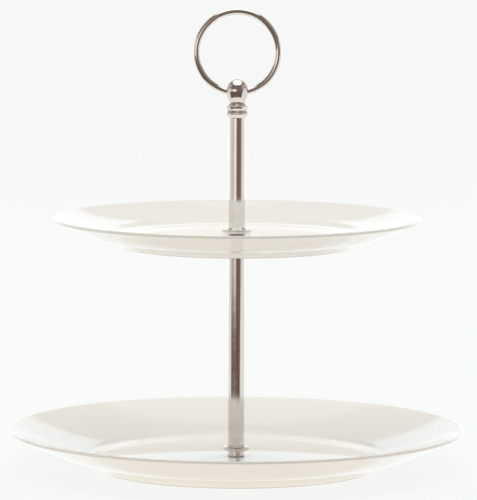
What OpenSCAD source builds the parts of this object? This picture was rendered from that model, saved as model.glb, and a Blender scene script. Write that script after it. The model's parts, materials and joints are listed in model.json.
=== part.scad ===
// Two-tier cake stand: two glazed porcelain plates on a polished two-piece column
// with a ring handle. The column halves screw together through the upper plate, and
// the lower half screws down onto the lower plate from above a flat-headed screw.

/* [Lower plate] */
// Outside diameter of the lower plate
lower_plate_d = 260; // [230:1:320]
// Height of the lower plate's rim above its foot
lower_plate_h = 23; // [19:0.1:30]
// Outside diameter of the lower plate's foot ring, where it stands
lower_foot_d = 159; // [130:1:165]
// Radius at which the lower plate's flat floor ends
lower_well_r = 79; // [60:0.5:80]
// Radius of the lower plate's shoulder, where the rim starts
lower_shoulder_r = 87.5; // [84:0.5:95]
// Rise of the lower plate's shoulder above its floor
lower_shoulder_rise = 2; // [1.5:0.1:3]
// Height of the corner where the lower plate's foot wall meets its underside
lower_foot_wall_h = 4.3; // [3.4:0.1:5]
// Depth of the recess inside the lower plate's foot ring
lower_recess = 3; // [3:0.1:4]
// Thickness of the lower plate's floor
lower_floor_t = 3.4; // [3:0.1:4.5]

/* [Upper plate] */
// Outside diameter of the upper plate
upper_plate_d = 210; // [185:1:260]
// Height of the upper plate's rim above its foot
upper_plate_h = 16.7; // [15:0.1:24]
// Outside diameter of the upper plate's foot ring
upper_foot_d = 132; // [105:1:136]
// Radius at which the upper plate's flat floor ends
upper_well_r = 64; // [50:0.5:66]
// Radius of the upper plate's shoulder, where the rim starts
upper_shoulder_r = 76; // [72:0.5:82]
// Rise of the upper plate's shoulder above its floor
upper_shoulder_rise = 2.5; // [1.5:0.1:3]
// Height of the corner where the upper plate's foot wall meets its underside
upper_foot_wall_h = 3.3; // [3:0.1:4.5]
// Depth of the recess inside the upper plate's foot ring
upper_recess = 2.8; // [2.4:0.1:4]
// Thickness of the upper plate's floor
upper_floor_t = 3.2; // [3:0.1:4.5]

/* [Both plates] */
// Thickness of the rounded lip
lip_t = 1.9; // [1.6:0.1:3]
// How much steeper the rim is at its lip, and flatter at its shoulder, than its mean slope, in degrees
rim_sweep = 4.5; // [0:0.5:8]
// How much flatter the underside is beside its foot than its mean slope, in degrees
under_sweep = 10; // [0:0.5:11]
// How far the foot wall leans out between its toe and the underside
foot_lean = 4.6; // [3:0.1:6]
// Width of the bare ring that the plate stands on
foot_land = 2.4; // [2:0.1:4]
// Diameter of the hole through each plate
plate_hole_d = 7; // [6.8:0.1:8]

/* [Column] */
// Outside diameter of both tubes
tube_d = 9.3; // [9:0.1:14]
// Wall thickness of both tubes
tube_wall = 0.9; // [0.7:0.1:1]
// Length of the lower tube
lower_tube_l = 116.5; // [80:0.5:200]
// Length of the upper tube
upper_tube_l = 64; // [45:0.5:120]
// Diameter of the lower flange disc
lower_flange_d = 15.2; // [14:0.1:24]
// Diameter of the upper flange disc
upper_flange_d = 17; // [14:0.1:24]
// Thickness of each flange disc
flange_t = 2; // [1.5:0.1:3]
// Height of the spigot under the lower flange disc
lower_spigot_h = 3.2; // [1:0.1:5]
// Height of the spigot under the upper flange disc
upper_spigot_h = 1.2; // [1:0.1:5]
// Height of the collar that each tube stands in
boss_h = 1; // [0.6:0.1:2]
// Wall thickness of that collar
boss_wall = 0.55; // [0.4:0.05:1]
// Length of each flange's tenon inside its tube
tenon_l = 12; // [8:0.5:16]
// Length of the threaded bush in the top of the lower tube
lower_bush_l = 14; // [12:0.5:20]
// Length of the threaded bush in the top of the upper tube
upper_bush_l = 10; // [8:0.5:16]

/* [Fasteners] */
// Thread size of the base screw and the joining stud
stud_d = 6; // [5:0.5:6]
// Thread pitch of the base screw and the joining stud
stud_pitch = 1; // [0.8:0.05:1]
// Thread size of the handle's stud
handle_stud_d = 5; // [4:0.5:5]
// Thread pitch of the handle's stud
handle_stud_pitch = 0.8; // [0.7:0.05:0.8]
// Length of thread that holds each flange
flange_grip = 9; // [7:0.5:11]
// Length of thread that holds the handle in the upper tube
handle_grip = 6.4; // [5:0.2:7.6]
// Depth to which the joining stud is fixed in its bush
stud_root = 11.5; // [8:0.5:12]
// Diameter of the base screw's head
screw_head_d = 12; // [10:0.5:16]
// Thickness of the base screw's head
screw_head_t = 1.3; // [1:0.1:1.6]
// Outside diameter of the washers and pads under the plates
washer_d = 18; // [16:0.5:26]
// Thickness of the base washer
base_washer_t = 0.6; // [0.5:0.1:0.8]
// Thickness of the pad under the lower plate
base_pad_t = 0.5; // [0.3:0.1:0.6]
// Thickness of the seat washer under the upper plate
seat_washer_t = 1.2; // [0.8:0.1:2]
// Thickness of the pad under the upper plate
seat_pad_t = 0.6; // [0.3:0.1:1]
// Thickness of the pads under the two flanges
flange_pad_t = 0.5; // [0.3:0.1:1]

/* [Handle] */
// Outside diameter of the ring
ring_d = 50.2; // [40:0.2:70]
// Diameter of the ring's wire
ring_wire_d = 3.7; // [3:0.1:4]
// Diameter of the ball
ball_d = 13.2; // [12.6:0.1:18]
// Depth of the ring's lowest point below the middle of the ball
ring_drop = 1.45; // [0:0.05:2]
// Diameter of the ball's foot, where it stands on the collar
neck_d = 8.6; // [8:0.1:10]
// Height of the ball's middle above the collar
ball_rise = 7.3; // [7:0.1:10]
// Largest diameter of the two collar beads
bead_d = 12.85; // [12:0.05:18]
// Diameter of the groove between the two beads
groove_d = 11.1; // [10:0.1:12]
// Height of the lower bead
ferrule_h = 4.1; // [3:0.1:6]
// Height of the upper bead
collar_h = 4; // [3:0.1:6]

/* [Fits] */
// Gap all round between a thread and the hole that it turns in
thread_gap = 0.08; // [0.05:0.01:0.1]
// Gap all round between pieces that are pressed or brazed together
press_gap = 0.02; // [0.01:0.01:0.03]
// Gap all round between a stud and a washer or ring that it passes through
pass_gap = 0.3; // [0.2:0.05:0.35]

/* [Hidden] */
$fn = 96;

porcelain = [0.96, 0.95, 0.92];
nickel = [0.80, 0.77, 0.73];
zinc = [0.70, 0.71, 0.72];
silicone = [0.88, 0.89, 0.88];
curve_steps = 12;
lip_steps = 8;
dome_steps = 18;
foot_round = 0.6;
fillet_run = 3;
wall_steepness = 7;
heel_lean = 0.8;
heel_fillet = 1;
well_ease = 0.55;
shoulder_ease = 0.35;
brow_share = 0.55;
brow_top_share = 0.6;
bowl_low = [0.5, 0.13];
bowl_high = [0.85, 0.58];
crown_low = [0, 0.5];
crown_high = [0.5, 1];
cone_h = 1.15;
cone_lean = 28;
knob_low = [0.457, 0.247];
knob_high = [1, 0.534];
slot_w = 1.4;
slot_depth = 0.8;
head_dome = 0.4;
edge = 0.3;
thread_depth = 0.61;
stud_tip = 0.8;

// Heights up the column, from the surface that the lower plate stands on
lower_floor_z = lower_recess + lower_floor_t;
base_pad_z = lower_recess - base_pad_t;
base_washer_z = base_pad_z - base_washer_t;
lower_flange_z = lower_floor_z + flange_pad_t;
lower_disc_z = lower_flange_z + lower_spigot_h;
lower_tube_z = lower_disc_z + flange_t;
lower_tube_top = lower_tube_z + lower_tube_l;
seat_pad_z = lower_tube_top + seat_washer_t;
upper_recess_z = seat_pad_z + seat_pad_t;
upper_foot_z = upper_recess_z - upper_recess;
upper_floor_z = upper_recess_z + upper_floor_t;
upper_flange_z = upper_floor_z + flange_pad_t;
upper_disc_z = upper_flange_z + upper_spigot_h;
upper_tube_z = upper_disc_z + flange_t;
upper_tube_top = upper_tube_z + upper_tube_l;
collar_z = upper_tube_top + ferrule_h;
neck_z = collar_z + collar_h;
ball_z = neck_z + ball_rise;
ring_r = (ring_d - ring_wire_d) / 2;
ring_z = ball_z - ring_drop + ring_r;

tube_r = tube_d / 2;
tube_bore_r = tube_r - tube_wall;
insert_r = tube_bore_r - press_gap;
stud_r = stud_d / 2;
handle_stud_r = handle_stud_d / 2;
stud_top_z = upper_flange_z + flange_grip;
handle_stud_z = upper_tube_top - handle_grip;
handle_stud_top = ball_z - ring_drop - ring_wire_d / 2 - edge;

function heading(angle) = [cos(angle), sin(angle)];

// Points of a cubic curve from a to d, leaving out a itself
function curve(a, b, c, d) =
    [for (i = [1:curve_steps]) let (t = i / curve_steps, s = 1 - t)
        a * s * s * s + 3 * b * s * s * t + 3 * c * s * t * t + d * t * t * t];

function arc(centre, r, from, to, steps) =
    [for (i = [0:steps]) centre + r * heading(from + (to - from) * i / steps)];

// Point that lies the given shares of the way from a to b, across and up
function between(a, b, share) =
    [a[0] + (b[0] - a[0]) * share[0], a[1] + (b[1] - a[1]) * share[1]];

// Slope of the line from a to b, in degrees
function slope(a, b) = atan2(b[1] - a[1], b[0] - a[0]);

// Half section of a plate: floor, well wall, shoulder, rim, lip, underside, foot and recess
function plate_section(rim_r, rim_h, foot_r, wall_h, well_r, shoulder_r, shoulder_rise,
                       recess, floor_t) =
    let (floor_h = recess + floor_t,
         well = [well_r, floor_h],
         shoulder = [shoulder_r, floor_h + shoulder_rise],
         wall_run = shoulder_r - well_r,
         rim_run = (rim_r - shoulder_r) / 3,
         lip = [rim_r - lip_t / 2, rim_h - lip_t / 2],
         rim_slope = slope(shoulder, lip),
         lip_slope = rim_slope + rim_sweep,
         lip_top = lip + lip_t / 2 * heading(lip_slope + 90),
         lip_under = lip + lip_t / 2 * heading(lip_slope - 90),
         corner = [foot_r + foot_lean, wall_h],
         wall_slope = atan2(wall_h, foot_lean),
         under_slope = slope(corner, lip_under) - under_sweep,
         outer = corner + fillet_run * heading(under_slope),
         wall = corner - fillet_run / 2 * heading(wall_slope),
         toe = [foot_r - foot_round, foot_round],
         heel = [foot_r - foot_land, foot_round])
    concat(
        [[plate_hole_d / 2, recess], [plate_hole_d / 2, floor_h], well],
        curve(well, well + [wall_run * well_ease, 0],
              shoulder - wall_run * shoulder_ease * heading(rim_slope + wall_steepness), shoulder),
        curve(shoulder, shoulder + rim_run * heading(rim_slope - rim_sweep),
              lip_top - rim_run * heading(lip_slope), lip_top),
        arc(lip, lip_t / 2, lip_slope + 90, lip_slope - 90, lip_steps),
        curve(lip_under, lip_under - rim_run * heading(lip_slope),
              outer + rim_run * heading(under_slope), outer),
        curve(outer, corner, corner, wall),
        arc(toe, foot_round, wall_slope - 90, -90, lip_steps),
        arc(heel, foot_round, -90, -180, lip_steps),
        [heel + [-heel_lean, recess - foot_round - heel_fillet],
         [foot_r - foot_land - foot_round - heel_lean - heel_fillet, recess]]);

module plate(d, h, foot_d, wall_h, well_r, shoulder_r, shoulder_rise, recess, floor_t) {
    color(porcelain) rotate_extrude()
        polygon(plate_section(d / 2, h, foot_d / 2, wall_h, well_r, shoulder_r, shoulder_rise,
                              recess, floor_t));
}

// Flat ring with a hole
module ring(outer_r, hole_r, h) {
    difference() {
        cylinder(r = outer_r, h = h);
        translate([0, 0, -h]) cylinder(r = hole_r, h = 3 * h);
    }
}

// Threaded rod standing on z = 0: its thread is drawn as plain rings, one for each pitch
module thread(r, pitch, length) {
    root_r = r - thread_depth * pitch;
    turns = floor((length - stud_tip) / pitch);
    crest = pitch / 8;
    rotate_extrude() polygon(concat(
        [[0, 0], [root_r, 0]],
        [for (i = [0:turns - 1]) each [[root_r, i * pitch + crest],
                                       [r, i * pitch + pitch / 2 - crest / 2],
                                       [r, i * pitch + pitch / 2 + crest / 2],
                                       [root_r, (i + 1) * pitch - crest]]],
        [[root_r, length - edge], [root_r - edge, length], [0, length]]));
}

// Flange that a tube stands on, from the foot of its spigot up to the top of its tenon
module flange(disc_d, spigot_h) {
    disc_r = disc_d / 2;
    boss_r = tube_r + boss_wall;
    seat = spigot_h + flange_t;
    bore_r = stud_r + thread_gap;
    socket_r = tube_r + press_gap;
    rotate_extrude() polygon([
        [bore_r, 0], [tube_r, 0], [tube_r, spigot_h],
        [disc_r - edge, spigot_h], [disc_r, spigot_h + edge],
        [disc_r, seat - 2 * edge], [disc_r - edge / 2, seat - edge / 2], [disc_r - 2 * edge, seat],
        [boss_r + edge, seat], [boss_r, seat + edge], [boss_r, seat + boss_h - edge],
        [boss_r - edge, seat + boss_h], [socket_r, seat + boss_h], [socket_r, seat],
        [insert_r, seat], [insert_r, seat + tenon_l - edge],
        [insert_r - edge, seat + tenon_l], [bore_r, seat + tenon_l]]);
}

// Turned bead that swells like a bowl from its foot to a narrow brow, with a cone above it
module bead(foot_r, top_r, h, hole_r) {
    foot = [foot_r, 0];
    brow = [bead_d / 2, h * brow_share];
    brow_top = [bead_d / 2, h * brow_top_share];
    cone = [min(top_r + cone_h * tan(cone_lean), bead_d / 2 - edge), h - cone_h];
    rotate_extrude() polygon(concat(
        [[hole_r, 0], foot],
        curve(foot, between(foot, brow, bowl_low), between(foot, brow, bowl_high), brow),
        [brow_top],
        curve(brow_top, between(brow_top, cone, crown_low), between(brow_top, cone, crown_high),
              cone),
        [[top_r, h], [hole_r, h]]));
}

module wire_ring(wire_r) {
    translate([0, 0, ring_z]) rotate([90, 0, 0])
        rotate_extrude() translate([ring_r, 0]) circle(r = wire_r);
}

module lower_plate() {
    plate(lower_plate_d, lower_plate_h, lower_foot_d, lower_foot_wall_h, lower_well_r,
          lower_shoulder_r, lower_shoulder_rise, lower_recess, lower_floor_t);
}

module base_pad() {
    color(silicone) translate([0, 0, base_pad_z])
        ring(washer_d / 2, plate_hole_d / 2, base_pad_t);
}

module base_washer() {
    color(zinc) translate([0, 0, base_washer_z])
        ring(washer_d / 2, stud_r + pass_gap, base_washer_t);
}

// Flat-headed screw with a coin slot
module base_screw() {
    head_r = screw_head_d / 2;
    screw_l = lower_flange_z + flange_grip - base_washer_z;
    color(zinc) translate([0, 0, base_washer_z]) {
        difference() {
            rotate_extrude() polygon([[0, -screw_head_t], [head_r - 2 * head_dome, -screw_head_t],
                                      [head_r, head_dome - screw_head_t], [head_r, 0], [0, 0]]);
            translate([-head_r, -slot_w / 2, -screw_head_t - slot_depth])
                cube([2 * head_r, slot_w, 2 * slot_depth]);
        }
        thread(stud_r, stud_pitch, screw_l);
    }
}

module lower_flange_pad() {
    color(silicone) translate([0, 0, lower_floor_z])
        ring(tube_r, stud_r + pass_gap, flange_pad_t);
}

module lower_flange() {
    color(nickel) translate([0, 0, lower_flange_z]) flange(lower_flange_d, lower_spigot_h);
}

module lower_tube() {
    color(nickel) translate([0, 0, lower_tube_z]) ring(tube_r, tube_bore_r, lower_tube_l);
}

module lower_bush() {
    color("darkgoldenrod") translate([0, 0, lower_tube_top - lower_bush_l])
        ring(insert_r, stud_r + press_gap, lower_bush_l);
}

module joining_stud() {
    foot_z = lower_tube_top - stud_root;
    color(zinc) translate([0, 0, foot_z]) thread(stud_r, stud_pitch, stud_top_z - foot_z);
}

module seat_washer() {
    color(nickel) translate([0, 0, lower_tube_top])
        ring(washer_d / 2, stud_r + pass_gap, seat_washer_t);
}

module seat_pad() {
    color(silicone) translate([0, 0, seat_pad_z])
        ring(washer_d / 2, plate_hole_d / 2, seat_pad_t);
}

module upper_plate() {
    translate([0, 0, upper_foot_z])
        plate(upper_plate_d, upper_plate_h, upper_foot_d, upper_foot_wall_h, upper_well_r,
              upper_shoulder_r, upper_shoulder_rise, upper_recess, upper_floor_t);
}

module upper_flange_pad() {
    color(silicone) translate([0, 0, upper_floor_z])
        ring(tube_r, stud_r + pass_gap, flange_pad_t);
}

module upper_flange() {
    color(nickel) translate([0, 0, upper_flange_z]) flange(upper_flange_d, upper_spigot_h);
}

module upper_tube() {
    color(nickel) translate([0, 0, upper_tube_z]) ring(tube_r, tube_bore_r, upper_tube_l);
}

module upper_bush() {
    color("darkgoldenrod") translate([0, 0, upper_tube_top - upper_bush_l])
        ring(insert_r, handle_stud_r + thread_gap, upper_bush_l);
}

module ferrule() {
    color(nickel) translate([0, 0, upper_tube_top])
        bead(tube_r, groove_d / 2, ferrule_h, handle_stud_r + pass_gap);
}

module handle_collar() {
    color(nickel) translate([0, 0, collar_z])
        bead(groove_d / 2, neck_d / 2 + edge, collar_h, handle_stud_r + press_gap);
}

module handle_stud() {
    color(zinc) translate([0, 0, handle_stud_z])
        thread(handle_stud_r, handle_stud_pitch, handle_stud_top - handle_stud_z);
}

// Round-topped knob that draws in to its foot, from z = 0
module knob(r, foot_r, rise) {
    foot = [foot_r, 0];
    belt = [r, rise];
    rotate_extrude() polygon(concat(
        [[0, 0], foot],
        curve(foot, between(foot, belt, knob_low), between(foot, belt, knob_high), belt),
        [for (i = [1:dome_steps - 1]) [0, rise] + r * heading(90 * i / dome_steps)],
        [[0, rise + r]]));
}

// Ball of the handle, cross-drilled for the ring and drilled from below for the stud
module handle_ball() {
    color(nickel) difference() {
        translate([0, 0, neck_z]) knob(ball_d / 2, neck_d / 2, ball_rise);
        wire_ring(ring_wire_d / 2 + press_gap);
        translate([0, 0, neck_z - edge])
            cylinder(r = handle_stud_r + press_gap, h = handle_stud_top - neck_z + 2 * edge);
    }
}

module ring_handle() {
    color(nickel) wire_ring(ring_wire_d / 2);
}

lower_plate();
base_pad();
base_washer();
base_screw();
lower_flange_pad();
lower_flange();
lower_tube();
lower_bush();
joining_stud();
seat_washer();
seat_pad();
upper_plate();
upper_flange_pad();
upper_flange();
upper_tube();
upper_bush();
ferrule();
handle_collar();
handle_stud();
handle_ball();
ring_handle();
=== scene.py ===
import json
import math

import bmesh
import bpy
from bpy.props import (FloatProperty, FloatVectorProperty, IntProperty, PointerProperty)
from mathutils import Matrix, Vector
from mathutils.geometry import interpolate_bezier


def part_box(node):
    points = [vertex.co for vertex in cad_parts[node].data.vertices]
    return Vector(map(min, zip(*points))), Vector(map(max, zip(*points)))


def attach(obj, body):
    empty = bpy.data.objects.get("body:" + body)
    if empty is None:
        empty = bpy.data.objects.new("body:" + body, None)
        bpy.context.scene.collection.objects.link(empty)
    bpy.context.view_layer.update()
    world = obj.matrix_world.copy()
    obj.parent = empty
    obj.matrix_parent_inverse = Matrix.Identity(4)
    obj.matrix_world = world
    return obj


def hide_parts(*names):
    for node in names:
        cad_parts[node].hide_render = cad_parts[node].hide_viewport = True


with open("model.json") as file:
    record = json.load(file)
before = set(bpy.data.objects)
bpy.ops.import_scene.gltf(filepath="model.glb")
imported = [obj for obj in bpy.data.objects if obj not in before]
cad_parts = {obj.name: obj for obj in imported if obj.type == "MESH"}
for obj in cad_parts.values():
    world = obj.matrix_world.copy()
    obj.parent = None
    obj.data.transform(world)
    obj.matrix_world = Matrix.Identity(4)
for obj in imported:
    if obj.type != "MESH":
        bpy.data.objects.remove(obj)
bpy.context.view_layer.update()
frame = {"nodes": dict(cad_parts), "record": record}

bl_info = {
    "name": "Tiered Cake Stand",
    "version": (1, 0, 0),
    "blender": (4, 5, 0),
    "location": "3D View > Sidebar > Cake Stand",
    "description": "Finished surfaces of a two-tier porcelain cake stand, built around its packed solids",
    "category": "Object",
}

BODY = {node: body for body, nodes in frame["record"]["behaviour"]["bodies"].items()
        for node in nodes}

PLATES = ("lower_plate", "upper_plate")
FLANGES = ("lower_flange", "upper_flange")
TUBES = ("lower_tube", "upper_tube")
BEADS = ("ferrule", "handle_collar")
WASHERS = ("base_washer", "seat_washer")
PADS = ("base_pad", "seat_pad", "lower_flange_pad", "upper_flange_pad")
BUSHES = ("lower_bush", "upper_bush")
STUDS = ("base_screw", "joining_stud", "handle_stud")

LIT_WELL_EDGE = (0.60, 0.69)  # where the well's painted light starts and stops fading out, as shares of the rim


def top(node):
    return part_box(node)[1].z


def foot(node):
    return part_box(node)[0].z


# ---------------------------------------------------------------- sizes and colours

def length(name, default, description, **limits):
    return FloatProperty(name=name, default=default, description=description, min=0.0,
                         precision=5, subtype="DISTANCE", unit="LENGTH", **limits)


def colour(name, default, description):
    return FloatVectorProperty(name=name, default=default, description=description,
                               subtype="COLOR", size=3, min=0.0, max=1.0)


class PlateSizes(bpy.types.PropertyGroup):
    steps: IntProperty(name="Steps Around", default=240, min=48, max=400,
                       description="Faces round each plate")
    edge_round: length("Drilled Edge", 0.0004, "Rounding of the drilled hole's edges")
    longest: length("Longest Face", 0.004, "Longest face across the floor of a plate")
    warp: length("Kiln Warp", 0.00012, "How far a rim lifts and dips from firing")
    glaze: colour("Glaze", (0.835, 0.832, 0.81), "Colour of the glazed porcelain")
    # Painted light: the well floor is painted paler than the rim, standing in for the extra light its
    # flat floor catches.
    pool: colour("Well Painted Light", (0.97, 0.97, 0.96), "Colour of the painted light on the well floor")
    bare: colour("Bare Ring", (0.60, 0.565, 0.50), "Colour of the bare porcelain under the foot")


class MetalSizes(bpy.types.PropertyGroup):
    steps: IntProperty(name="Steps Around", default=128, min=32, max=256,
                       description="Faces round each turned piece")
    edge_round: length("Edge Round", 0.00012, "Rounding of turned edges")
    nickel: colour("Nickel", (0.77, 0.735, 0.69), "Colour of the polished nickel")
    zinc: colour("Zinc", (0.62, 0.63, 0.64), "Colour of the zinc plating")
    brass: colour("Brass", (0.79, 0.62, 0.32), "Colour of the turned bushes")
    silicone: colour("Silicone", (0.80, 0.81, 0.79), "Colour of the pads")


class HandleSizes(bpy.types.PropertyGroup):
    wire_steps: IntProperty(name="Wire Faces", default=36, min=12, max=64,
                            description="Faces round the ring's wire")
    ring_steps: IntProperty(name="Ring Faces", default=200, min=48, max=320,
                            description="Faces along the ring")
    neck_radius: length("Ball Foot", 0.0043, "Radius of the ball's foot on the collar")
    edge_round: length("Foot Edge", 0.00015, "Rounding of the ball's foot")


class StudioSizes(bpy.types.PropertyGroup):
    floor: length("Floor", 14.0, "Radius of the pale floor")
    shade: FloatProperty(name="Floor Shade", default=0.10, min=0.0, max=1.0,
                         description="Share of the floor's colour that takes shadow")
    paper: colour("Backdrop", (0.930, 0.947, 0.940), "Colour of the floor and the backdrop")
    bounce: colour("Bounce", (0.97, 0.90, 0.79), "Colour of the light that the floor returns")
    cards: FloatProperty(name="Side Cards", default=4.5, min=0.0, max=20.0,
                         description="Power of each soft card beside the stand, in watts")
    eye: FloatVectorProperty(name="Camera", default=(0.001, -2.682, 0.4134), size=3,
                             subtype="TRANSLATION", description="Where the camera stands")
    pitch: FloatProperty(name="Pitch", default=math.radians(6.13), subtype="ANGLE",
                         unit="ROTATION", description="How far the camera looks down")
    roll: FloatProperty(name="Roll", default=math.radians(0.2), subtype="ANGLE",
                        unit="ROTATION", description="How far the camera leans")
    lens: FloatProperty(name="Lens", default=339.84, min=50.0, max=600.0, subtype="NONE",
                        description="Focal length in millimetres on a 36 mm wide sensor")


class CakeStandSettings(bpy.types.PropertyGroup):
    plates: PointerProperty(type=PlateSizes, name="Plates", description="Both plates")
    metal: PointerProperty(type=MetalSizes, name="Metal", description="Column and fasteners")
    handle: PointerProperty(type=HandleSizes, name="Handle", description="Ball and ring")
    studio: PointerProperty(type=StudioSizes, name="Studio", description="Floor, light, camera")


# ---------------------------------------------------------------- finishes

class Socket:
    """A node's output. An operator on it adds the Math node that works it out."""

    def __init__(self, finish, output):
        self.finish = finish
        self.output = output

    def maths(self, operation, *values):
        return self.finish.add("ShaderNodeMath", {"operation": operation},
                               dict(enumerate(values)))

    def __add__(self, other):
        return self.maths("ADD", self, other)

    def __sub__(self, other):
        return self.maths("SUBTRACT", self, other)

    def __rsub__(self, other):
        return self.maths("SUBTRACT", other, self)

    def __mul__(self, other):
        return self.maths("MULTIPLY", self, other)

    __radd__ = __add__
    __rmul__ = __mul__

    def step(self, start, end):
        """0 below start and 1 above end, with a soft slope between."""
        return self.finish.add("ShaderNodeMapRange",
                               {"interpolation_type": "SMOOTHSTEP", "clamp": True},
                               {"Value": self, "From Min": start, "From Max": end})


class Finish:
    """The nodes of one material, or of the world."""

    def __init__(self, owner):
        owner.use_nodes = True
        self.owner = owner
        self.nodes = owner.node_tree.nodes
        self.links = owner.node_tree.links
        self.nodes.clear()

    def add(self, kind, settings=None, inputs=None, output=0):
        """Adds a node, sets it up, then fills its inputs with values or links them to sockets."""
        node = self.nodes.new(kind)
        for name, value in (settings or {}).items():
            if name == "stops":
                ramp = node.color_ramp.elements
                while len(ramp) < len(value):
                    ramp.new(0.5)
                for stop, (place, shade) in zip(ramp, value):
                    stop.position = place
                    stop.color = (*shade, 1.0)
            else:
                setattr(node, name, value)
        for name, value in (inputs or {}).items():
            if isinstance(value, Socket):
                self.links.new(value.output, node.inputs[name])
            else:
                node.inputs[name].default_value = value
        return Socket(self, node.outputs[output]) if len(node.outputs) else node

    def mix(self, share, a, b, blend="MIX"):
        """Colour a where share is 0 and colour b where it is 1."""
        full = [(*c, 1.0) if isinstance(c, tuple) and len(c) == 3 else c for c in (a, b)]
        return self.add("ShaderNodeMix", {"data_type": "RGBA", "blend_type": blend},
                        {0: share, 6: full[0], 7: full[1]}, output=2)

    def place(self, scale=(1.0, 1.0, 1.0)):
        """Object coordinates in metres, stretched by scale."""
        point = self.add("ShaderNodeTexCoord", output=3)
        return self.add("ShaderNodeMapping", {"vector_type": "POINT"},
                        {"Vector": point, "Scale": scale})

    def height(self):
        """Height in metres above the surface that the stand rests on."""
        point = self.add("ShaderNodeTexCoord", output=3)
        return self.add("ShaderNodeSeparateXYZ", None, {0: point}, output=2)

    def noise(self, where, scale, detail=2.0, roughness=0.5):
        return self.add("ShaderNodeTexNoise", {"noise_dimensions": "3D"},
                        {"Vector": where, "Scale": scale, "Detail": detail,
                         "Roughness": roughness})

    def bump(self, height, distance, strength=1.0, normal=None):
        links = {"Height": height, "Distance": distance, "Strength": strength}
        if normal is not None:
            links["Normal"] = normal
        return self.add("ShaderNodeBump", None, links)

    def shade(self, **inputs):
        """Ends a material in one Principled shader."""
        named = {name.replace("_", " "): value for name, value in inputs.items()}
        shader = self.add("ShaderNodeBsdfPrincipled", {"distribution": "MULTI_GGX"}, named)
        self.add("ShaderNodeOutputMaterial", None, {"Surface": shader})
        return self.owner


def glazed_porcelain(name, foot_z, rim):
    """Glossy white porcelain, with painted light making the well floor paler, bare where it stands."""
    sizes = bpy.context.scene.cake_stand.plates
    finish = Finish(bpy.data.materials.new(name))
    where = finish.place()
    cloud = finish.noise(where, 22.0, 3.0)
    out = finish.add("ShaderNodeVectorMath", {"operation": "LENGTH"},
                     {0: finish.place((1.0, 1.0, 0.0))}, output=1)
    lit_from, lit_to = (share * rim for share in LIT_WELL_EDGE)
    # Painted light: a paler colour over the well, fading out partway across the rim.
    body = finish.mix(out.step(lit_from, lit_to), tuple(sizes.pool), tuple(sizes.glaze))
    body = finish.mix(cloud.step(0.25, 0.75) * 0.5, body, (0.97, 0.97, 0.96), "MULTIPLY")
    specks = finish.add("ShaderNodeTexVoronoi", {"feature": "F1"},
                        {"Vector": where, "Scale": 260.0, "Randomness": 1.0})
    rare = finish.noise(where, 90.0, 1.0).step(0.68, 0.74)
    speck = (1 - specks.step(0.06, 0.12)) * rare
    body = finish.mix(speck * 0.35, body, (0.42, 0.38, 0.32))
    bare = 1 - finish.height().step(foot_z + 0.00025, foot_z + 0.00045)
    grain = finish.noise(where, 2600.0, 3.0, 0.7)
    raw = finish.mix(grain, tuple(c * 0.86 for c in sizes.bare), tuple(sizes.bare))
    smear = finish.noise(where, 55.0, 2.0)
    gloss = 0.02 + smear.step(0.35, 0.8) * 0.03
    wave = finish.bump(finish.noise(where, 30.0, 1.0), 0.00012, 0.4)
    peel = finish.bump(finish.noise(where, 420.0, 2.0), 0.000005, 0.3, wave)
    pits = finish.bump(speck * -1.0, 0.00003, 0.5, peel)
    rough = finish.bump(grain * bare, 0.00006, 0.8, pits)
    return finish.shade(Base_Color=finish.mix(bare, body, raw),
                        Roughness=gloss + bare * 0.7, IOR=1.52, Normal=rough)


def polished_nickel(name, turned=True):
    """Bright nickel plate with fine polishing marks, round the column on a turned piece."""
    sizes = bpy.context.scene.cake_stand.metal
    finish = Finish(bpy.data.materials.new(name))
    where = finish.place()
    lines = finish.place((90.0, 90.0, 14000.0)) if turned else finish.place((4200.0, 900.0, 4200.0))
    marks = finish.noise(lines, 1.0, 3.0, 0.6)
    haze = finish.noise(where, 130.0, 3.0).step(0.35, 0.75)
    tone = finish.noise(where, 60.0, 2.0)
    plate = finish.mix(tone.step(0.3, 0.7), tuple(c * 0.965 for c in sizes.nickel),
                       tuple(sizes.nickel))
    plate = finish.mix(marks.step(0.45, 0.85) * 0.12, plate, tuple(c * 0.8 for c in sizes.nickel))
    ripple = finish.bump(finish.noise(where, 300.0, 1.0), 0.000004, 0.35)
    scratch = finish.bump(marks, 0.0000025, 0.3, ripple)
    return finish.shade(Base_Color=plate, Metallic=1.0,
                        Roughness=0.05 + haze * 0.05 + marks.step(0.4, 0.9) * 0.05,
                        Normal=scratch)


def zinc_plate(name):
    """Zinc plated steel, with the soft cloudy bloom of the bath and patches of yellow tint."""
    sizes = bpy.context.scene.cake_stand.metal
    finish = Finish(bpy.data.materials.new(name))
    where = finish.place()
    bloom = finish.noise(where, 700.0, 4.0, 0.65)
    tone = finish.mix(bloom.step(0.3, 0.7), tuple(c * 0.8 for c in sizes.zinc),
                      tuple(sizes.zinc))
    yellow = finish.noise(where, 320.0, 2.0).step(0.5, 0.8)
    tone = finish.mix(yellow * 0.25, tone, (0.66, 0.62, 0.50))
    grit = finish.bump(bloom, 0.00002, 0.5)
    return finish.shade(Base_Color=tone, Metallic=1.0, Roughness=0.28 + bloom * 0.2, Normal=grit)


def turned_brass(name):
    """Brass straight from the lathe, with the tool's fine feed lines."""
    sizes = bpy.context.scene.cake_stand.metal
    finish = Finish(bpy.data.materials.new(name))
    feed = finish.noise(finish.place((60.0, 60.0, 9000.0)), 1.0, 2.0)
    tarnish = finish.noise(finish.place(), 400.0, 3.0).step(0.45, 0.8)
    tone = finish.mix(tarnish * 0.5, tuple(sizes.brass), tuple(c * 0.62 for c in sizes.brass))
    return finish.shade(Base_Color=tone, Metallic=1.0, Roughness=0.2 + tarnish * 0.2,
                        Normal=finish.bump(feed, 0.00001, 0.6))


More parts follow.
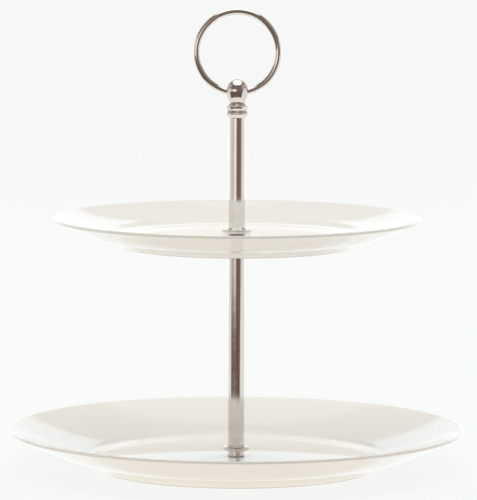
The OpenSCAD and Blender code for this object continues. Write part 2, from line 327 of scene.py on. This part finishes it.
def moulded_silicone(name):
    """Milky silicone with a fine moulded grain and a little dust."""
    sizes = bpy.context.scene.cake_stand.metal
    finish = Finish(bpy.data.materials.new(name))
    where = finish.place()
    grain = finish.noise(where, 3500.0, 2.0)
    dust = finish.noise(where, 500.0, 4.0, 0.7).step(0.5, 0.8)
    tone = finish.mix(dust * 0.5, tuple(sizes.silicone), (0.66, 0.64, 0.60))
    return finish.shade(Base_Color=tone, Roughness=0.42 + dust * 0.25, IOR=1.41,
                        Subsurface_Weight=0.15, Subsurface_Scale=0.001,
                        Normal=finish.bump(grain, 0.00002, 0.5))


def kept(name, recipe, *details):
    """The material of that name, made once by its recipe."""
    return bpy.data.materials.get(name) or recipe(name, *details)


# ---------------------------------------------------------------- shapes

def half_section(node):
    """The outline of a turned CAD node where the plane through its axis cuts it."""
    shape = bmesh.new()
    shape.from_mesh(frame["nodes"][node].data)
    bmesh.ops.remove_doubles(shape, verts=shape.verts, dist=1e-7)
    hair = 2e-7
    bmesh.ops.delete(shape, geom=shape.faces[:], context="FACES_ONLY")
    spare = [e for e in shape.edges
             if any(abs(v.co.y) > hair or v.co.x < -hair for v in e.verts)]
    bmesh.ops.delete(shape, geom=spare, context="EDGES")
    loose = [v for v in shape.verts if not v.link_edges]
    bmesh.ops.delete(shape, geom=loose, context="VERTS")
    return shape


def corner(vertex):
    """How far a line turns at one of its points, in radians."""
    if len(vertex.link_edges) != 2:
        return 0.0
    one, two = (e.other_vert(vertex).co - vertex.co for e in vertex.link_edges)
    return math.pi - one.angle(two)


def round_corners(shape, radius, sharpest=math.radians(24)):
    """Rounds the corners of an outline that turn more than the sharpest kept angle."""
    for v in [v for v in shape.verts if corner(v) > sharpest]:
        room = min(e.calc_length() for e in v.link_edges)
        bmesh.ops.bevel(shape, geom=[v], offset=min(radius, room * 0.4), offset_type="OFFSET",
                        segments=3, profile=0.5, affect="VERTICES", material=-1)


def cut_long_edges(shape, longest):
    for edge in shape.edges[:]:
        cuts = int(edge.calc_length() / longest)
        if cuts:
            bmesh.ops.subdivide_edges(shape, edges=[edge], cuts=cuts)


def spin(shape, steps, axis=(0, 0, 1), centre=(0, 0, 0)):
    """Turns an outline into a closed body with its faces outwards."""
    bmesh.ops.spin(shape, geom=shape.verts[:] + shape.edges[:], angle=math.tau, steps=steps,
                   axis=axis, cent=centre, use_merge=True)
    bmesh.ops.remove_doubles(shape, verts=shape.verts, dist=1e-7)
    bmesh.ops.recalc_face_normals(shape, faces=shape.faces)


def finished(name, shape, material, *nodes):
    """Makes the shape a smooth object that stands for the CAD nodes and rides on their body."""
    mesh = bpy.data.meshes.new(name)
    for face in shape.faces:
        face.smooth = True
    for edge in shape.edges:
        edge.smooth = not (edge.is_manifold and edge.calc_face_angle() > math.radians(50))
    shape.to_mesh(mesh)
    shape.free()
    mesh.materials.append(material)
    piece = bpy.data.objects.new(name, mesh)
    bpy.context.scene.collection.objects.link(piece)
    even = piece.modifiers.new("Even Shading", "WEIGHTED_NORMAL")
    even.keep_sharp = True
    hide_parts(*nodes)
    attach(piece, BODY[nodes[0]])


def turned(node, material, steps, edge_round, longest=None):
    """A finely turned body in place of a CAD node."""
    shape = half_section(node)
    round_corners(shape, edge_round)
    if longest:
        cut_long_edges(shape, longest)
    spin(shape, steps)
    finished("Fine_" + node, shape, material, node)


def refinish(node, material):
    """Gives a CAD node that stays in view its own material."""
    for slot in frame["nodes"][node].material_slots:
        slot.material = material


# ---------------------------------------------------------------- operators

class CAKESTAND_OT_plates(bpy.types.Operator):
    """Turn both glazed plates, with their slight kiln warp and their bare foot rings"""
    bl_idname = "cake_stand.plates"
    bl_label = "Plates"

    def execute(self, context):
        sizes = context.scene.cake_stand.plates
        for node, phase in zip(PLATES, (0.6, 2.3)):
            shape = half_section(node)
            round_corners(shape, sizes.edge_round, math.radians(40))
            cut_long_edges(shape, sizes.longest)
            spin(shape, sizes.steps)
            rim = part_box(node)[1].x
            for v in shape.verts:
                out = math.hypot(v.co.x, v.co.y) / rim
                around = math.atan2(v.co.y, v.co.x)
                wave = math.cos(2 * around + phase) + 0.5 * math.cos(3 * around - phase)
                v.co.z += sizes.warp * max(0.0, out - 0.6) ** 2 / 0.16 * (wave / 1.5 - 1) / 2
            glaze = glazed_porcelain("Glaze_" + node, foot(node), rim)
            finished("Fine_" + node, shape, glaze, node)
        return {"FINISHED"}


class CAKESTAND_OT_column(bpy.types.Operator):
    """Turn the two tubes and the flanges that they stand on"""
    bl_idname = "cake_stand.column"
    bl_label = "Column"

    def execute(self, context):
        sizes = context.scene.cake_stand.metal
        nickel = kept("Polished_nickel", polished_nickel)
        for node in TUBES + FLANGES:
            turned(node, nickel, sizes.steps, sizes.edge_round)
        return {"FINISHED"}


class CAKESTAND_OT_collar(bpy.types.Operator):
    """Turn the two beads of the collar between the column and the ball"""
    bl_idname = "cake_stand.collar"
    bl_label = "Collar"

    def execute(self, context):
        sizes = context.scene.cake_stand.metal
        nickel = kept("Polished_nickel", polished_nickel)
        for node in BEADS:
            turned(node, nickel, sizes.steps, sizes.edge_round)
        return {"FINISHED"}


class CAKESTAND_OT_ball(bpy.types.Operator):
    """Make the ball and its neck in one piece, joined by a small fillet"""
    bl_idname = "cake_stand.ball"
    bl_label = "Ball"

    # Handles of the flank's curve: shares of its swell outwards and of its rise upwards
    LOW_HANDLE = (0.457, 0.247)
    HIGH_HANDLE = (1.0, 0.534)
    FLANK_POINTS = 40

    def execute(self, context):
        handle = context.scene.cake_stand.handle
        metal = context.scene.cake_stand.metal
        low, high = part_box("handle_ball")
        radius = (high.x - low.x) / 2
        middle = high.z - radius
        collar = top("handle_collar")
        rise = middle - collar
        swell = radius - handle.neck_radius
        shape = bmesh.new()
        bmesh.ops.create_circle(shape, segments=128, radius=radius,
                                matrix=Matrix.Translation((0.0, 0.0, middle))
                                @ Matrix.Rotation(math.pi / 2, 4, "X"))
        outside = [v for v in shape.verts if v.co.x < -1e-6 or v.co.z < middle - 1e-6]
        bmesh.ops.delete(shape, geom=outside, context="VERTS")
        handles = ((handle.neck_radius + out * swell, 0.0, collar + share * rise)
                   for out, share in (self.HIGH_HANDLE, self.LOW_HANDLE))
        flank = interpolate_bezier((radius, 0.0, middle), *handles,
                                   (handle.neck_radius, 0.0, collar), self.FLANK_POINTS)
        points = [shape.verts.new(p) for p in (*flank, (0.0, 0.0, collar))]
        for pair in zip(points, points[1:]):
            shape.edges.new(pair)
        bmesh.ops.remove_doubles(shape, verts=shape.verts, dist=1e-6)
        round_corners(shape, handle.edge_round)
        spin(shape, metal.steps)
        finished("Fine_ball", shape, kept("Polished_nickel", polished_nickel), "handle_ball")
        return {"FINISHED"}


class CAKESTAND_OT_ring(bpy.types.Operator):
    """Bend the round wire of the ring handle into a closed loop through the ball"""
    bl_idname = "cake_stand.ring"
    bl_label = "Ring"

    def execute(self, context):
        handle = context.scene.cake_stand.handle
        low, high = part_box("ring_handle")
        wire = (high.y - low.y) / 2
        centre = (low + high) / 2
        reach = (high.x - low.x) / 2 - wire
        shape = bmesh.new()
        bmesh.ops.create_circle(shape, segments=handle.wire_steps, radius=wire,
                                matrix=Matrix.Translation(centre + Vector((reach, 0.0, 0.0))))
        spin(shape, handle.ring_steps, axis=(0, 1, 0), centre=centre)
        finished("Fine_ring", shape, kept("Polished_wire", polished_nickel, False),
                 "ring_handle")
        return {"FINISHED"}


class CAKESTAND_OT_washers(bpy.types.Operator):
    """Turn the washers, and mould the soft pads that keep metal off the glaze"""
    bl_idname = "cake_stand.washers"
    bl_label = "Washers and Pads"

    def execute(self, context):
        sizes = context.scene.cake_stand.metal
        turned(WASHERS[0], kept("Zinc_plate", zinc_plate), sizes.steps, sizes.edge_round)
        turned(WASHERS[1], kept("Polished_nickel", polished_nickel), sizes.steps,
               sizes.edge_round)
        for node in PADS:
            turned(node, kept("Moulded_silicone", moulded_silicone), sizes.steps,
                   sizes.edge_round)
        return {"FINISHED"}


class CAKESTAND_OT_inner_parts(bpy.types.Operator):
    """Give the screw, the studs and the bushes inside the column their own finishes"""
    bl_idname = "cake_stand.inner_parts"
    bl_label = "Screw, Studs and Bushes"

    def execute(self, context):
        for node in STUDS:
            refinish(node, kept("Zinc_plate", zinc_plate))
        for node in BUSHES:
            refinish(node, kept("Turned_brass", turned_brass))
        return {"FINISHED"}


class CAKESTAND_OT_studio(bpy.types.Operator):
    """Lay the pale floor, hang the soft lights and set up the camera"""
    bl_idname = "cake_stand.studio"
    bl_label = "Studio"

    # The room round the stand, at its own height and above
    PALE_WALL = (0.95, 0.95, 0.95)
    SHADED_WALL = (0.71, 0.68, 0.67)
    STRIP_LIGHT = (1.25, 1.10, 1.05)
    DARK_SIDE = (0.22, 0.155, 0.135)
    HIGH_WALL = (0.46, 0.41, 0.375)
    DARK_HIGH_WALL = (0.20, 0.17, 0.155)
    DIM_CEILING = (0.25, 0.215, 0.19)
    CEILING_LIGHT = ((1.55, 1.55, 1.55), (2.5, 2.5, 2.48))
    # The floor round the stand
    PALE_FLOOR = (0.95, 0.945, 0.935)
    DARK_FLOOR = (0.17, 0.119, 0.104)
    FLOOR_BELOW = (0.95, 0.94, 0.92)
    # The room behind the stand: degrees up where each begins, softness, colour
    NEAR_FLOOR = (0.94, 0.91, 0.87)
    BEHIND = ((-27, 2.0, (1.05, 1.10, 1.11)),      # far floor
              (-6.65, 0.35, (1.55, 1.55, 1.55)),   # horizon
              (1, 2.0, (1.10, 1.17, 1.20)),        # back wall
              (22, 1.7, (0.71, 0.67, 0.56)),       # warm board
              (42, 1.2, (1.02, 1.04, 0.99)),       # upper wall
              (57.5, 2.5, (2.5, 2.5, 2.48)))       # ceiling light
    # The cards beside the stand, in metres
    CARD_SIZE = 1.2
    CARD_PLACE = Vector((1.0, 0.6, 1.05))
    CARD_AIM_HEIGHT = 0.05

    def execute(self, context):
        sizes = context.scene.cake_stand.studio
        context.scene.view_settings.view_transform = "Standard"
        self.lay_floor(context, sizes)
        self.light_room(context, sizes)
        self.hang_cards(context, sizes)
        self.stand_camera(context, sizes)
        return {"FINISHED"}

    def lay_floor(self, context, sizes):
        shape = bmesh.new()
        bmesh.ops.create_circle(shape, segments=96, radius=sizes.floor, cap_ends=True)
        mesh = bpy.data.meshes.new("Floor")
        shape.to_mesh(mesh)
        shape.free()
        finish = Finish(bpy.data.materials.new("Pale_floor"))
        eye = finish.add("ShaderNodeLightPath", output=0)
        cast = finish.mix(eye, tuple(sizes.bounce), tuple(sizes.paper))
        glow = finish.add("ShaderNodeEmission", None, {"Color": cast})
        matt = finish.add("ShaderNodeBsdfDiffuse", None, {"Color": (*sizes.paper, 1.0)})
        both = finish.add("ShaderNodeMixShader", None, {0: sizes.shade, 1: glow, 2: matt})
        finish.add("ShaderNodeOutputMaterial", None, {"Surface": both})
        mesh.materials.append(finish.owner)
        floor = bpy.data.objects.new("Floor", mesh)
        floor.visible_glossy = False
        context.scene.collection.objects.link(floor)

    def light_room(self, context, sizes):
        world = bpy.data.worlds.new("Studio")
        context.scene.world = world
        finish = Finish(world)
        path = finish.add("ShaderNodeLightPath", output=0)
        lit = finish.mix(path, self.room(finish), tuple(sizes.paper))
        back = finish.add("ShaderNodeBackground", None, {"Color": lit, "Strength": 1.0})
        finish.add("ShaderNodeOutputWorld", None, {"Surface": back})

    def room(self, finish):
        """The colour of the room in each direction, which glaze and polished metal mirror."""
        way = finish.add("ShaderNodeTexCoord")
        across, along, up = (finish.add("ShaderNodeSeparateXYZ", None, {0: way}, output=i)
                             for i in range(3))
        turn = across.maths("ARCTAN2", across, along * -1.0) * (180 / math.pi)

        def above(degrees, soft):
            return up.step(math.sin(math.radians(degrees - soft)),
                           math.sin(math.radians(degrees + soft)))

        def sector(start, end, soft=12.0):
            """1 between two directions, in degrees to the right of the camera's side."""
            return turn.step(start - soft, start) * (1 - turn.step(end, end + soft))

        walls = finish.mix(sector(-62, -20, 60.0), self.PALE_WALL, self.SHADED_WALL)
        walls = finish.mix(sector(-27, -5, 24.0), walls, self.STRIP_LIGHT)
        walls = finish.mix(turn.step(-19, 0), walls, self.DARK_SIDE)
        walls = finish.mix(turn.step(46, 82), walls, self.PALE_WALL)
        room = finish.mix(above(14, 4.0), walls, self.HIGH_WALL)
        room = finish.mix(above(13, 2.0) * sector(-66, 46), room, self.DARK_HIGH_WALL)
        room = finish.mix(above(44, 1.5), room, self.DIM_CEILING)
        ceiling = finish.mix(along.step(-0.5, 0.5), *self.CEILING_LIGHT)
        room = finish.mix(above(57, 2.0), room, ceiling)
        floor = finish.mix(sector(-74, 46), self.PALE_FLOOR, self.DARK_FLOOR)
        floor = finish.mix(1 - above(-45, 5.0), floor, self.FLOOR_BELOW)
        room = finish.mix(1 - above(-6.65, 0.2), room, floor)
        behind = self.NEAR_FLOOR
        for degrees, soft, shade in self.BEHIND:
            behind = finish.mix(above(degrees, soft), behind, shade)
        return finish.mix(sector(-130, 130, 20.0), behind, room)

    def hang_cards(self, context, sizes):
        """Hangs a soft card on each side, which lights the stand and isn't mirrored in it."""
        for name, side in (("Left_card", -1), ("Right_card", 1)):
            card = bpy.data.lights.new(name, "AREA")
            card.size = self.CARD_SIZE
            card.energy = sizes.cards
            lamp = bpy.data.objects.new(name, card)
            lamp.visible_glossy = False
            lamp.location = self.CARD_PLACE * Vector((side, 1, 1))
            aim = Vector((0.0, 0.0, self.CARD_AIM_HEIGHT)) - lamp.location
            lamp.rotation_euler = aim.to_track_quat("-Z", "Y").to_euler()
            context.scene.collection.objects.link(lamp)

    def stand_camera(self, context, sizes):
        data = bpy.data.cameras.new("Camera")
        data.lens = sizes.lens
        data.sensor_width = 36.0
        data.clip_start, data.clip_end = 0.05, 100.0
        camera = bpy.data.objects.new("Camera", data)
        context.scene.collection.objects.link(camera)
        camera.matrix_world = (Matrix.Translation(Vector(sizes.eye))
                               @ Matrix.Rotation(math.pi / 2 - sizes.pitch, 4, "X")
                               @ Matrix.Rotation(sizes.roll, 4, "Z"))
        context.scene.camera = camera


OPERATORS = (CAKESTAND_OT_studio, CAKESTAND_OT_plates, CAKESTAND_OT_column, CAKESTAND_OT_collar,
             CAKESTAND_OT_ball, CAKESTAND_OT_ring, CAKESTAND_OT_washers,
             CAKESTAND_OT_inner_parts)


class CAKESTAND_PT_panel(bpy.types.Panel):
    """Lists the pieces of the cake stand and their sizes"""
    bl_idname = "CAKESTAND_PT_panel"
    bl_label = "Tiered Cake Stand"
    bl_space_type = "VIEW_3D"
    bl_region_type = "UI"
    bl_category = "Cake Stand"

    def draw(self, context):
        settings = context.scene.cake_stand
        for group in ("plates", "metal", "handle", "studio"):
            box = self.layout.box()
            box.label(text=group.title())
            sizes = getattr(settings, group)
            for name in sizes.__annotations__:
                box.prop(sizes, name)
        for operator in OPERATORS:
            self.layout.operator(operator.bl_idname)


CLASSES = (PlateSizes, MetalSizes, HandleSizes, StudioSizes, CakeStandSettings,
           *OPERATORS, CAKESTAND_PT_panel)


def register():
    for cls in CLASSES:
        bpy.utils.register_class(cls)
    bpy.types.Scene.cake_stand = PointerProperty(type=CakeStandSettings, name="Cake Stand",
                                                 description="Sizes and colours")


def unregister():
    del bpy.types.Scene.cake_stand
    for cls in reversed(CLASSES):
        bpy.utils.unregister_class(cls)


def main():
    register()
    for operator in OPERATORS:
        group, name = operator.bl_idname.split(".")
        getattr(getattr(bpy.ops, group), name)()


if __name__ == "__main__":
    main()
